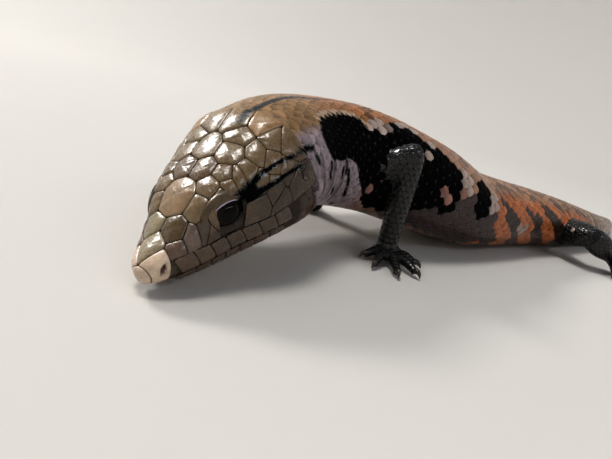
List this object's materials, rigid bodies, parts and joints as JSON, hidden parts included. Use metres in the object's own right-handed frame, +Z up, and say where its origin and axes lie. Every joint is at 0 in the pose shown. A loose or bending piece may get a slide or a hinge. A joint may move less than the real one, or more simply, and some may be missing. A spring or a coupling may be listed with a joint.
{
  "type": "blue-tongued skink",
  "caption": "Life-size still model of a blue-tongued skink lying on its belly, head lowered to one side, with raised head shields, short legs with claws and a tapering tail.",
  "frame": {"origin": "on the ground under the middle of the trunk", "axes": "+Z up; the trunk faces -X and the tail lies towards +X; the animal's left side faces -Y"},
  "size_m": [0.4858, 0.1444, 0.056],
  "materials": {
    "head_bronze": "glossy horny shields, olive bronze",
    "jaw_cream": "satin scales, cream to orange brown",
    "eye_dark": "wet, polished",
    "back_rust": "glossy overlapping scales, rust with black patches",
    "tail_brown": "glossy overlapping scales, banded brown",
    "leg_black": "glossy black scales"
  },
  "bodies": {
    "root": {"head": "head_bronze", "jaw": "jaw_cream", "eye_left": "eye_dark", "eye_right": "eye_dark", "neck": "back_rust", "torso_front": "back_rust", "torso_rear": "back_rust", "tail_base": "tail_brown", "tail_middle": "tail_brown", "tail_tip": "tail_brown", "front_leg_left_upper": "leg_black", "front_leg_left_lower": "leg_black", "front_leg_left_foot": "leg_black", "front_leg_right_upper": "leg_black", "front_leg_right_lower": "leg_black", "front_leg_right_foot": "leg_black", "hind_leg_left_upper": "leg_black", "hind_leg_left_lower": "leg_black", "hind_leg_left_foot": "leg_black", "hind_leg_right_upper": "leg_black", "hind_leg_right_lower": "leg_black", "hind_leg_right_foot": "leg_black"}
  },
  "joints": []
}
